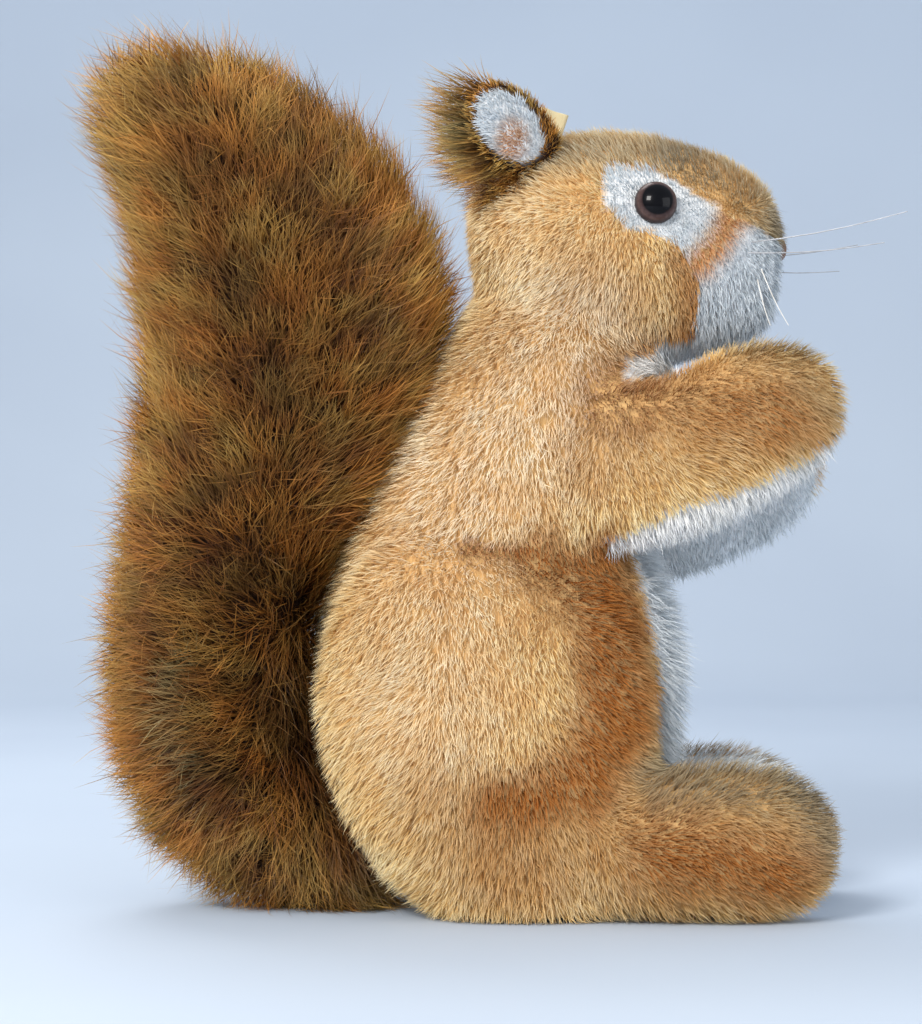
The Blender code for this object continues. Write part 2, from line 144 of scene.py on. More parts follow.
def set_field(mesh, name, values):
    mesh.attributes.new(name, "FLOAT", "POINT").data.foreach_set("value", values.astype(np.float32))


def finish(mesh, material):
    """Shades a mesh smooth and gives it its material."""
    mesh.polygons.foreach_set("use_smooth", [True] * len(mesh.polygons))
    mesh.materials.append(material)


def bridge(shape, rows, closed=False):
    """Faces between rows of vertices, each row joined to the next one."""
    for first, second in zip(rows, rows[1:]):
        for step in range(len(first) if closed else len(first) - 1):
            follow = (step + 1) % len(first)
            shape.faces.new((first[step], first[follow], second[follow], second[step]))


def as_object(shape, name):
    """An object in the scene from a finished bmesh."""
    mesh = bpy.data.meshes.new(name)
    shape.to_mesh(mesh)
    shape.free()
    return link(bpy.data.objects.new(name, mesh))


# Skins

def joined(name, nodes, swell):
    """Closed copies of the nodes in one mesh, each swollen a little so that neighbours run together."""
    whole = bmesh.new()
    for node in nodes:
        piece = bmesh.new()
        piece.from_mesh(NODES[node].data)
        bmesh.ops.remove_doubles(piece, verts=piece.verts, dist=1e-6)
        piece.normal_update()
        for vertex in piece.verts:
            vertex.co += vertex.normal * swell
        copy = bpy.data.meshes.new(name)
        piece.to_mesh(copy)
        piece.free()
        whole.from_mesh(copy)
        bpy.data.meshes.remove(copy)
    return as_object(whole, name)


def drop_bubbles(mesh):
    """Keeps the largest connected shell, without the small ones that pockets inside leave."""
    shape = bmesh.new()
    shape.from_mesh(mesh)
    seen = set()
    shells = []
    for start in shape.verts:
        if start in seen:
            continue
        shell = [start]
        seen.add(start)
        for vertex in shell:
            for edge in vertex.link_edges:
                other = edge.other_vert(vertex)
                if other not in seen:
                    seen.add(other)
                    shell.append(other)
        shells.append(shell)
    shells.sort(key=len)
    for shell in shells[:-1]:
        bmesh.ops.delete(shape, geom=shell, context="VERTS")
    shape.to_mesh(mesh)
    shape.free()
    mesh.update()


def skin(name, nodes, voxel, inset, rounds, material):
    """One closed padded skin that stands for the nodes, a little inside them to leave room for the pile."""
    obj = joined(name, nodes, swell=0.0004)
    remesh = obj.modifiers.new("remesh", "REMESH")
    remesh.mode = "VOXEL"
    remesh.voxel_size = voxel
    drop_bubbles(evaluated(obj))
    relax = obj.modifiers.new("relax", "SMOOTH")
    relax.factor = 0.5
    relax.iterations = rounds
    mesh = evaluated(obj)
    set_corners(mesh, corners(mesh) - normals_of(mesh) * inset)
    places = corners(mesh)
    places[:, 2] = np.maximum(places[:, 2], 2 * FLOOR_CLEARANCE)
    set_corners(mesh, places)
    finish(mesh, material)
    return obj


# Where a point of the skin belongs

class Owner:
    """Tells for each point which of the CAD nodes is nearest."""

    def __init__(self, names):
        self.names = names
        points = []
        faces = []
        self.owner = []
        for index, name in enumerate(names):
            mesh = NODES[name].data
            base = len(points)
            points += [vertex.co.copy() for vertex in mesh.vertices]
            faces += [[base + corner for corner in face.vertices] for face in mesh.polygons]
            self.owner += [index] * len(mesh.polygons)
        self.tree = BVHTree.FromPolygons(points, faces)

    def of(self, points):
        """A test of the points: with words it gives a mask of those whose node's name starts with one."""
        found = [self.owner[self.tree.find_nearest(point)[2]] for point in points.tolist()]
        return partial(self.are, np.array(found))

    def are(self, owners, *words):
        wanted = [index for index, name in enumerate(self.names) if name.startswith(words)]
        return np.isin(owners, wanted)


# Pile

def scatter(mesh, count, weight, rng):
    """Random places on a mesh, dense where the weight is high, their normals, and a way to carry values."""
    mesh.calc_loop_triangles()
    triangles = np.empty(len(mesh.loop_triangles) * 3, dtype=np.int64)
    mesh.loop_triangles.foreach_get("vertices", triangles)
    triangles = triangles.reshape(-1, 3)
    places = corners(mesh)[triangles]
    slopes = normals_of(mesh)[triangles]
    area = np.linalg.norm(np.cross(places[:, 1] - places[:, 0], places[:, 2] - places[:, 0]), axis=1)
    share = area * weight(places.mean(axis=1))
    pick = rng.choice(len(triangles), size=count, p=share / share.sum())
    one = np.sqrt(rng.random((count, 1)))
    two = rng.random((count, 1))
    mix = np.stack((1 - one, one * (1 - two), one * two), axis=1)
    field = partial(carried, triangles[pick], mix)
    return (places[pick] * mix).sum(axis=1), unit((slopes[pick] * mix).sum(axis=1)), field


def carried(triangles, mix, values):
    """The values of a mesh's vertices at places inside its triangles."""
    return (values[triangles] * mix).sum(axis=1)


def smoothed(mesh, values, rounds):
    """Vertex values evened out along the mesh's edges."""
    edges = np.empty(len(mesh.edges) * 2, dtype=np.int64)
    mesh.edges.foreach_get("vertices", edges)
    edges = edges.reshape(-1, 2)
    count = np.bincount(edges.ravel(), minlength=len(values))[:, None]
    for _ in range(rounds):
        total = np.zeros_like(values)
        np.add.at(total, edges[:, 0], values[edges[:, 1]])
        np.add.at(total, edges[:, 1], values[edges[:, 0]])
        values = 0.5 * values + 0.5 * total / np.maximum(count, 1)
    return values


def drift(points, wavelength, seed):
    """A smooth random vector at each point, for swirls in the pile."""
    rng = np.random.default_rng(seed)
    total = np.zeros_like(points)
    for _ in range(7):
        wave = unit(rng.normal(size=(1, 3)))[0] * math.tau / (wavelength * rng.uniform(0.6, 1.5))
        total += np.sin(points @ wave + rng.uniform(0, math.tau))[:, None] * rng.normal(size=3)
    return total / math.sqrt(7)


def tufts(points, size, seed):
    """Groups near points into small uneven tufts: each point's tuft number and each tuft's middle."""
    rng = np.random.default_rng(seed)
    turn = np.linalg.qr(rng.normal(size=(3, 3)))[0]
    cells = np.floor((points + rng.normal(scale=0.22 * size, size=points.shape)) @ turn / size)
    _, number = np.unique(cells.astype(np.int64), axis=0, return_inverse=True)
    number = number.ravel()
    count = np.maximum(np.bincount(number), 1)
    middle = np.stack([np.bincount(number, weights=points[:, axis]) / count for axis in range(3)], axis=1)
    return number, middle


def curve_order(points):
    """The points' order along a curve that fills space, so that neighbours stay together."""
    low = points.min(axis=0)
    whole = ((points - low) / (points.max(axis=0) - low).max() * 1023).astype(np.int64)
    code = np.zeros(len(points), dtype=np.int64)
    for bit in range(10):
        for axis in range(3):
            code |= ((whole[:, axis] >> bit) & 1) << (3 * bit + axis)
    return np.argsort(code, kind="stable")


def cells_for(count):
    """A small square of the map for each strand, along a curve that fills the square map."""
    bits = max(1, math.ceil(math.log(count, 4)))
    index = np.arange(count)
    column = np.zeros(count, dtype=np.int64)
    row = np.zeros(count, dtype=np.int64)
    for bit in range(bits):
        column |= ((index >> (2 * bit)) & 1) << bit
        row |= ((index >> (2 * bit + 1)) & 1) << bit
    return np.stack((column, row), axis=1) / 2.0**bits, 1.0 / 2.0**bits


class Pile:
    """Strands by their roots, ready to be bent, combed and turned into blades."""

    # Shares of the colours, length in metres, spread of the ways, and lean in degrees at root and tip
    START = {"tone": 0.5, "tint": 0.0, "dark": 0.0, "pale": 0.0}
    START |= {"length": PLUSH_LENGTH, "swing": 0.20, "rise": 25.0, "settle": 54.0}

    def __init__(self, roots, normals, seed):
        self.rng = np.random.default_rng(seed)
        self.seed = seed
        self.roots = roots
        self.normals = normals
        self.count = len(roots)
        self.flow = np.zeros((self.count, 3))
        for field, value in self.START.items():
            setattr(self, field, np.full(self.count, value))

    def pick(self, mask):
        """The strands of a mask as a pile of their own."""
        out = Pile(self.roots[mask], self.normals[mask], self.seed + 1)
        for field in ("flow", *self.START):
            setattr(out, field, getattr(self, field)[mask])
        return out

    def shaped(self, segments, tuft_size, gather, tuft_swing):
        """Each strand's points from root to tip, leaning along its flow and gathered into tufts."""
        rng = self.rng
        number, middle = tufts(self.roots, tuft_size, self.seed + 5)
        tuft_way = rng.normal(scale=tuft_swing, size=(len(middle), 3))[number]
        tuft_tone = rng.normal(scale=0.09, size=len(middle))[number]
        self.tone = np.clip(self.tone + tuft_tone + rng.normal(scale=0.15, size=self.count), 0, 1)
        way = unit(self.flow) + tuft_way + rng.normal(size=(self.count, 3)) * self.swing[:, None]
        lean = self.normals
        along = unit(way - lean * np.sum(way * lean, axis=1, keepdims=True))
        length = self.length * np.clip(rng.normal(1.0, 0.16, self.count), 0.5, 1.35)
        stray = rng.random(self.count) < 0.03
        length = np.where(stray, length * 1.2, length)
        tilt = rng.normal(scale=7.0, size=self.count) - 14.0 * stray
        points = [self.roots]
        pull = middle[number] - self.roots
        pull -= lean * np.sum(pull * lean, axis=1, keepdims=True)
        sideways = np.cross(lean, along) * rng.normal(scale=0.22, size=(self.count, 1))
        for step in range(segments):
            share = (step + 0.5) / segments
            angle = np.radians(np.clip(self.rise + (self.settle - self.rise) * share + tilt, 4, 88))
            heading = lean * np.cos(angle)[:, None] + (along + sideways * share) * np.sin(angle)[:, None]
            points.append(points[-1] + unit(heading) * (length / segments)[:, None])
        for step in range(1, segments + 1):
            share = step / segments
            points[step] = points[step] + pull * (gather * share * share)
        points = np.stack(points, axis=1)
        reach = points - points[:, :1]
        tip = reach[:, -1]
        room = np.where(tip > 0, REACH_HIGH - self.roots, self.roots - REACH_LOW)
        room[:, 2] = np.where(tip[:, 2] > 0, room[:, 2], 1.0)
        fit = np.minimum(1.0, (room / np.maximum(np.abs(tip), 1e-9)).min(axis=1))
        return points[:, :1] + reach * fit[:, None, None]


def blades(name, pile, points, width, kind, shares=1):
    """A pile as thin tapered blades in pieces of one share each, with a place in the map for every blade."""
    order = curve_order(pile.roots)
    for share in range(shares):
        title = name if shares == 1 else f"{name}_{share + 1}"
        blade_piece(title, pile, points, order[share::shares], width, kind)


def blade_piece(name, pile, points, pick, width, kind):
    """The picked strands as one piece: flat blades that narrow to a point."""
    spine = points[pick]
    count, levels, _ = spine.shape
    segments = levels - 1
    heading = unit(spine[:, -1] - spine[:, 0])
    flat = unit(np.cross(heading, pile.normals[pick]))
    upright = np.cross(heading, flat)
    roll = np.radians(pile.rng.uniform(-40, 40, count))[:, None]
    side = flat * np.cos(roll) + upright * np.sin(roll)
    shares = np.arange(levels) / segments
    taper = np.clip(1.05 - shares**1.6, 0.0, 1.0)
    broad = width * pile.rng.uniform(0.75, 1.25, count)
    rows = []
    for level in range(segments):
        half = side * (0.5 * taper[level] * broad)[:, None]
        rows += [spine[:, level] - half, spine[:, level] + half]
    rows.append(spine[:, -1])
    places = np.stack(rows, axis=1)
    places[..., 2] = np.maximum(places[..., 2], FLOOR_CLEARANCE)
    per = 2 * segments + 1
    loops = []
    for step in range(segments - 1):
        loops += [2 * step, 2 * step + 1, 2 * step + 3, 2 * step + 2]
    loops = np.array(loops + [per - 3, per - 2, per - 1])
    starts = 4 * np.arange(segments)
    base = np.arange(count)[:, None]
    mesh = bpy.data.meshes.new(name)
    mesh.vertices.add(count * per)
    mesh.vertices.foreach_set("co", places.astype(np.float32).ravel())
    mesh.loops.add(count * len(loops))
    mesh.loops.foreach_set("vertex_index", (base * per + loops).astype(np.int32).ravel())
    mesh.polygons.add(count * len(starts))
    mesh.polygons.foreach_set("loop_start", (base * len(loops) + starts).astype(np.int32).ravel())
    finish(mesh, kind)
    mesh.update(calc_edges=True)
    set_field(mesh, "along", np.tile([*np.repeat(shares[:segments], 2), 1.0], count))
    for field in ("tone", "tint", "dark", "pale"):
        set_field(mesh, field, np.repeat(getattr(pile, field)[pick], per))
    cell, size = cells_for(count)
    side_of = np.where(loops == per - 1, 0.5, np.where(loops % 2, 0.88, 0.12))
    across = cell[:, :1] + size * side_of
    down = cell[:, 1:] + size * (0.1 + 0.8 * (loops // 2) / segments)
    layer = mesh.uv_layers.new(name="OFBake")
    layer.data.foreach_set("uv", np.stack((across, down), axis=2).astype(np.float32).ravel())
    obj = link(bpy.data.objects.new(name, mesh))
    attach(obj, "root")


# Materials

def set_inputs(node, values):
    for name, value in values.items():
        node.inputs[name].default_value = value


def new_material(name, roughness, specular=0.5):
    material = bpy.data.materials.new(name)
    material.use_nodes = True
    shader = material.node_tree.nodes["Principled BSDF"]
    set_inputs(shader, {"Roughness": roughness, "Specular IOR Level": specular})
    return material, material.node_tree, shader


def colour_ramp(tree, factor, stops):
    """A ramp over stops of a place and a colour of 0 to 255 values."""
    node = tree.nodes.new("ShaderNodeValToRGB")
    elements = node.color_ramp.elements
    while len(elements) < len(stops):
        elements.new(0.5)
    for element, (place, colour) in zip(elements, stops):
        element.position = place
        element.color = srgb(*colour)
    tree.links.new(factor, node.inputs["Fac"])
    return node.outputs["Color"]


def attribute(tree, name):
    node = tree.nodes.new("ShaderNodeAttribute")
    node.attribute_name = name
    return node.outputs["Fac"]


def mixed(tree, factor, first, second, how="MIX"):
    node = tree.nodes.new("ShaderNodeMix")
    node.data_type = "RGBA"
    node.blend_type = how
    for socket, value in (("Factor_Float", factor), ("A_Color", first), ("B_Color", second)):
        target = next(entry for entry in node.inputs if entry.identifier == socket)
        if isinstance(value, (float, tuple)):
            target.default_value = value
        else:
            tree.links.new(value, target)
    return next(entry for entry in node.outputs if entry.identifier == "Result_Color")


def noise(tree, scale, detail=3.0):
    place = tree.nodes.new("ShaderNodeTexCoord")
    node = tree.nodes.new("ShaderNodeTexNoise")
    set_inputs(node, {"Scale": scale, "Detail": detail})
    tree.links.new(place.outputs["Object"], node.inputs["Vector"])
    return node.outputs["Fac"]


def ribbed(tree, shader, scale, distortion, strength, depth):
    """Raises the surface in fine ribs, and returns their pattern for the colour."""
    place = tree.nodes.new("ShaderNodeTexCoord")
    wave = tree.nodes.new("ShaderNodeTexWave")
    set_inputs(wave, {"Scale": scale, "Distortion": distortion})
    tree.links.new(place.outputs["Object"], wave.inputs["Vector"])
    bump = tree.nodes.new("ShaderNodeBump")
    set_inputs(bump, {"Strength": strength, "Distance": depth})
    tree.links.new(wave.outputs["Fac"], bump.inputs["Height"])
    tree.links.new(bump.outputs["Normal"], shader.inputs["Normal"])
    return wave.outputs["Fac"]


def speckled(name, roughness, scale, dark, light, specular=0.5):
    """A plain surface whose colour varies softly between two near shades."""
    material, tree, shader = new_material(name, roughness, specular)
    colour = colour_ramp(tree, noise(tree, scale), ((0.3, dark), (0.7, light)))
    tree.links.new(colour, shader.inputs["Base Color"])
    return material


def pile_material(name, plain, tinted, pale_and_lit, deep_and_shade, tones, patches, roughness=0.85, specular=0.12):
    """Pile colour from root to tip, tinted in places and paler in places, with light and dark strands and
    patches, and deeper in places; some of the paler colour is painted light and some of the deeper colour
    painted shade.
    """
    material, tree, shader = new_material(name, roughness, specular)
    along = attribute(tree, "along")
    places = (0.0, 0.35, 0.7, 1.0)
    rows = (plain, tinted, pale_and_lit)
    plain, tinted, pale_and_lit = (colour_ramp(tree, along, tuple(zip(places, row))) for row in rows)
    # The paler ramp: the pile's own cream and olive-grey, and painted light on the white pile
    colour = mixed(tree, attribute(tree, "pale"), plain, pale_and_lit)
    colour = mixed(tree, attribute(tree, "tint"), colour, tinted)
    tone = colour_ramp(tree, attribute(tree, "tone"), tones)
    colour = mixed(tree, 1.0, colour, tone, "MULTIPLY")
    patch = colour_ramp(tree, noise(tree, 90.0, 1.0), tuple(zip((0.38, 0.62), patches)))
    colour = mixed(tree, 1.0, colour, patch, "MULTIPLY")
    # The deep colour: olive on the tan, painted shade on the white, and partly painted shade on the brown
    colour = mixed(tree, attribute(tree, "dark"), colour, srgb(*deep_and_shade))
    tree.links.new(colour, shader.inputs["Base Color"])
    return material


def skin_material(name, light, deep, pale_light, pale_deep):
    """The knitted backing that shows between the strands, white where the pile is white."""
    material, tree, shader = new_material(name, 0.9, 0.2)
    ribbed(tree, shader, scale=380.0, distortion=4.0, strength=0.4, depth=0.0004)
    speckle = noise(tree, 220.0)
    colour = colour_ramp(tree, speckle, ((0.3, deep), (0.7, light)))
    pale_colour = colour_ramp(tree, speckle, ((0.3, pale_deep), (0.7, pale_light)))
    colour = mixed(tree, attribute(tree, "pale"), colour, pale_colour)
    tree.links.new(colour, shader.inputs["Base Color"])
    return material


TAN = pile_material(
    "tan_pile",
    ((223, 187, 118), (240, 213, 152), (248, 235, 189), (253, 249, 224)),
    ((130, 78, 34), (162, 101, 48), (188, 129, 70), (212, 163, 106)),
    # The pile's cream, which the cream strokes also lay on as painted light on the back and haunch
    ((243, 227, 192), (251, 242, 218), (255, 250, 236), (255, 254, 246)),
    (138, 127, 106),
    ((0.0, (222, 192, 154)), (0.5, (246, 238, 226)), (1.0, (255, 255, 255))),
    ((250, 240, 226), (255, 255, 255)),
)
WHITE = pile_material(
    "white_pile",
    # Painted shade: the white greyed and cooled as it looks in shade
    ((208, 215, 221), (224, 231, 236), (234, 240, 245), (243, 247, 251)),
    ((190, 124, 70), (212, 150, 94), (224, 170, 118), (234, 190, 146)),
    # Painted light: the same white as it looks lit, for the lit band on the near arm and the throat
    ((236, 234, 230), (246, 245, 243), (252, 252, 250), (255, 255, 255)),
    # Painted shade: a cool grey that the face's white pile is mixed toward
    (110, 134, 150),
    ((0.0, (238, 238, 236)), (0.5, (248, 248, 248)), (1.0, (255, 255, 255))),
    ((248, 248, 247), (255, 255, 255)),
)
BROWN = pile_material(
    "brown_pile",
    ((54, 31, 14), (104, 66, 28), (158, 110, 50), (200, 152, 84)),
    ((100, 68, 28), (182, 138, 66), (232, 192, 112), (252, 230, 168)),
    ((98, 96, 74), (142, 140, 110), (182, 180, 148), (218, 215, 186)),
    (36, 21, 11),
    ((0.0, (124, 96, 76)), (0.5, (222, 208, 190)), (0.9, (255, 250, 244)), (1.0, (255, 255, 255))),
    ((255, 228, 194), (244, 247, 232)),
    roughness=0.55,
    specular=0.25,
)
PALE_BACKING = ((232, 233, 234), (214, 215, 216))
TAN_SKIN = skin_material("plush_backing", (224, 184, 126), (196, 152, 98), *PALE_BACKING)
BROWN_SKIN = skin_material("brown_backing", (52, 30, 16), (28, 15, 8), *PALE_BACKING)


# The combed body

# The middle of each eye's dome, and the way it looks
EYES = {}
for label, _ in SIDES:
    dome = sum((Vector(corner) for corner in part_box(f"eye_{label}")), Vector()) / 2
    washer = sum((Vector(corner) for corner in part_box(f"eye_washer_{label}")), Vector()) / 2
    axis = (dome - washer).normalized()
    EYES[label] = (dome, axis)

# The pile near an eye, in metres: how far round it the fur is combed outwards, and where it is left bare
EYE_NEAR = 0.016
EYE_RIM = (0.0060, 0.0095)
EYE_BARE = 0.0052

# The middle of the brown tuft at the left ear's root, and its reach
EAR_ROOT = np.array((-0.0222, 0.018, 0.2092))
TUFT_REACH = 0.0118

# Strokes over the pile, mostly airbrush, some painted shade in creases and some painted light on lit parts:
# start and end (x, z) in mm, reach in mm, strength
RUST_AND_SHADE_STROKES = (
    # Partly painted shade: the dark under the arm, running into the thigh's airbrushed front
    ((-6, 99), (12, 84), 10, 1.0),
    ((10, 101), (11, 74), 9, 1.0),
    ((11, 74), (12, 58), 11, 1.0),
    ((14, 58), (4, 41), 13, 1.0),
    ((24, 96), (26, 66), 7, 0.3),
    # Partly painted shade: the fold between haunch and foot
    ((2, 40), (-18, 35), 9.5, 1.0),
    # Painted shade: the crease under the arm
    ((-26, 103), (8, 99), 3.5, 0.9),
    ((14, 145), (56, 139), 13, 0.7),
    ((10, 128), (40, 128), 12, 0.24),
    ((52, 144), (70, 136), 11, 0.45),
    ((26, 20), (58, 15), 12, 0.95),
    ((30, 28), (66, 24), 15, 0.42),
    ((-34, 34), (-14, 20), 16, 0.3),
    ((-18, 20), (20, 18), 20, 0.4),
    ((33, 183), (37, 166), 6.5, 0.75),
    ((36, 163), (20, 158), 4.5, 0.55),
    ((6, 176), (28, 168), 12, 0.25),
)
OLIVE_STROKES = (
    ((24, 39), (66, 36), 8, 0.8),
    ((66, 36), (74, 20), 10, 0.75),
    ((66, 152), (78, 138), 8, 0.4),
    ((46, 158), (66, 158), 5, 0.5),
    ((-12, 213), (36, 211), 7, 0.6),
    ((32, 211), (60, 196), 8, 0.6),
    ((59, 193), (66, 186), 5, 0.8),
)
# Partly painted light: these lighten the pile on the back, the haunch and the head's top and bridge where the
# light falls, over its own cream
CREAM_AND_LIGHT_STROKES = (
    ((0, 152), (-28, 118), 26, 1.0),
    ((-34, 92), (-36, 60), 24, 0.6),
    ((-14, 192), (6, 178), 18, 0.35),
    ((-12, 213), (36, 211), 9, 0.5),
    ((32, 211), (60, 196), 9, 0.6),
)
BAND_STROKES = (((49, 196), (37.5, 181), 5.0, 1.0),)

# Outlines of the white areas of the face and throat, (x, z) in mm
EYE_PATCH = (
    (10.7, 204.8), (11.2, 207.5), (14.5, 208.9), (21.1, 208.9), (26.7, 207.5), (35.0, 202.6), (43.8, 196.5),
    (50.4, 194.3), (43.8, 181.6), (35.5, 179.9), (31.6, 186.3), (24.7, 188.7), (16.7, 191.5), (11.8, 196.5),
)
MUZZLE = (
    (49.9, 194.8), (56.5, 191.5), (65.3, 187.6), (75.0, 180.0), (75.0, 154.5), (35.0, 154.5), (37.7, 161.7),
    (37.2, 167.2), (37.7, 175.2), (35.0, 179.9), (43.2, 187.6),
)
THROAT = (
    (16.0, 150.0), (19.0, 156.0), (26.0, 159.5), (35.0, 161.5), (45.0, 159.0), (45.0, 147.0), (17.0, 147.0),
)

# On the arm the throat's white shows only behind and above this place, (x, z) in mm
THROAT_ON_ARM = (32.0, 150.5)

# Height in mm above which the arm lies under the chin
ARM_TOP = 146.0

# The edge between the right arm's tan and white pile, (x, z) in mm, and how much lower it is on the left
ARM_BORDER = ((12.6, 104.5), (31.1, 113.2), (52.0, 119.8), (65.0, 126.4), (75.3, 133.0))
LEFT_ARM_DROP = 14.0


def inside(flat, outline):
    """Which of the flat points lie inside a closed outline."""
    hits = np.zeros(len(flat), dtype=bool)
    for (x1, z1), (x2, z2) in zip(outline, outline[1:] + outline[:1]):
        crosses = (z1 > flat[:, 1]) != (z2 > flat[:, 1])
        rise = z2 - z1 if z2 != z1 else 1e-9
        hits ^= crosses & (flat[:, 0] < x1 + (flat[:, 1] - z1) / rise * (x2 - x1))
    return hits


def pale_areas(surface, normals, part):
    """Which places of the body carry white pile."""
    flat = surface[:, (0, 2)] / MM + drift(surface, 0.005, 91)[:, :2] * 0.35
    face = part("head", "muzzle", "eye_patch")
    pale = part("belly", "foot_lining")
    pale |= face & (inside(flat, EYE_PATCH) | inside(flat, MUZZLE))
    arm = part("arm")
    back, low = THROAT_ON_ARM
    pale |= inside(flat, THROAT) & (~arm | ((flat[:, 1] > low) & (flat[:, 0] < back)))
    border = np.interp(flat[:, 0], *zip(*ARM_BORDER)) - np.where(surface[:, 1] > 0, LEFT_ARM_DROP, 0.0)
    above = flat[:, 1] > border
    outer = normals[:, 1] * np.sign(surface[:, 1]) > -0.1
    pale |= part("arm_lining") & ~(outer & above)
    pale |= arm & ~above & (flat[:, 0] > ARM_BORDER[0][0])
    return pale


def stroked(points, strokes, seed, wobble=1.6):
    """How strongly the strokes colour each point, on both flanks alike: airbrush, and in places painted shade
    and painted light.
    """
    flat = points[:, (0, 2)] / MM
    flat = flat + drift(points, 0.011, seed)[:, :2] * wobble
    missed = np.ones(len(points))
    for start, end, reach, strength in strokes:
        start = np.array(start, dtype=float)
        run = np.array(end, dtype=float) - start
        share = np.clip((flat - start) @ run / (run @ run), 0, 1)
        gap = np.linalg.norm(flat - start - share[:, None] * run, axis=1)
        missed *= 1.0 - strength * (1 - ramp(gap, 0.1 * reach, 1.45 * reach))
    return 1.0 - missed


def body_flow(points, part):
    """The way the pile is combed on the head, trunk, arms and legs."""
    x = points[:, 0] / MM
    z = points[:, 2] / MM
    none = np.zeros_like(x)
    flow = np.zeros_like(points)
    trunk = part("torso", "belly", "tail", "ear")
    flow[trunk] = (-0.15, 0.0, -1.0)
    face = part("head", "muzzle", "eye_patch")
    upper = ramp(z, 193.0, 206.0)
    front = ramp(x, 18.0, 40.0)
    ahead = -0.3 + 0.35 * front * (1 - upper) - 0.7 * upper
    flow[face] = np.stack((ahead, none, -1.0 + 1.35 * upper), axis=1)[face]
    flow[part("arm")] = (0.62, 0.0, -0.78)
    flow[part("arm_lining")] = (0.35, 0.0, -1.0)
    leg = part("leg", "foot")
    spread = np.clip((x + 14.0) / 42.0, -1.0, 1.0)
    low = 1.0 - ramp(z, 25.0, 80.0)
    sideways = np.where(spread > 0, spread * (0.35 + 0.9 * low), spread * (0.12 + 0.55 * low))
    fan = np.stack((sideways, none, -np.ones_like(x)), axis=1)
    foot = (ramp(x, 0.0, 26.0) * (1.0 - ramp(z, 44.0, 60.0)))[:, None]
    flow[leg] = (fan * (1 - foot) + np.array((1.0, 0.0, -0.3)) * foot)[leg]
    return unit(flow) + drift(points, 0.03, 41) * 0.2


def near_eye(points):
    """How near each point is to an eye's rim, the way out from the eye, and which points the eye covers."""
    near = np.zeros(len(points))
    way = np.zeros_like(points)
    covered = np.zeros(len(points), dtype=bool)
    for dome, axis in EYES.values():
        offset = points - np.array(dome)
        away = offset - np.outer(offset @ np.array(axis), np.array(axis))
        reach = np.linalg.norm(away, axis=1)
        same_side = points[:, 1] * dome.y > 0
        close = same_side & (np.linalg.norm(offset, axis=1) < EYE_NEAR)
        here = close * (1 - ramp(reach, *EYE_RIM))
        near = np.maximum(near, here)
        way[close] = away[close]
        covered |= close & (reach < EYE_BARE)
    return near, unit(way), covered


# How the filling sits, in mm: the belly's swell, the arms' sink at the chin, and the left forearm's drop
BELLY_SWELL = 3.4
ARM_SINK = 4.6
FOREARM_DROP = 4.5
ARM_TOP_RIGHT = 152.0
ARM_TOP_LEFT = 141.0


def plump(mesh, owner):
    """Swells the belly, lowers the tops of the arms near the chin and lets the left forearm hang."""
    places = corners(mesh)
    surface = places + normals_of(mesh) * BODY_INSET
    part = owner.of(surface)
    x = surface[:, 0] / MM
    z = surface[:, 2] / MM
    belly = part("belly") * BELLY_SWELL * MM * ramp(z, 22, 45) * (1 - ramp(z, 92, 118))
    top = np.where(surface[:, 1] < 0, ARM_TOP_RIGHT, ARM_TOP_LEFT)
    arm = part("arm")
    sunk = arm * ramp(x, 6, 18) * (1 - ramp(x, 24, 50)) * ramp(z - top, -12, 0)
    hung = arm * (surface[:, 1] > 0) * ramp(x, 12, 40) * (1 - ramp(z, 108, 136))
    down = np.outer(ARM_SINK * sunk + FOREARM_DROP * hung, (0.0, 0.0, MM))
    moves = normals_of(mesh) * belly[:, None] - down
    set_corners(mesh, places + smoothed(mesh, moves, 5))


def make_body():
    body = skin("body_skin", BODY_NODES, 0.0028, BODY_INSET, 3, TAN_SKIN)
    mesh = body.data
    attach(body, "root")
    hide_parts(*BODY_NODES)
    owner = Owner(BODY_NODES + ["ear_back_right", "ear_back_left", "tail"])
    plump(mesh, owner)
    surface = corners(mesh) + normals_of(mesh) * BODY_INSET
    part = owner.of(surface)
    white = pale_areas(surface, normals_of(mesh), part)
    set_field(mesh, "pale", white * (1.0 - stroked(surface, BAND_STROKES, 63, 0.5)))
    flow = smoothed(mesh, body_flow(surface, part), 12)
    return cover_body(mesh, owner, flow)


def body_weight(places):
    """Denser on the face, thin on the faces that stand on the floor."""
    on_face = (places[:, 2] > 154 * MM) & (places[:, 0] > -30 * MM)
    return np.where(places[:, 2] < 2 * MM, 0.2, np.where(on_face, 1.45, 1.0))


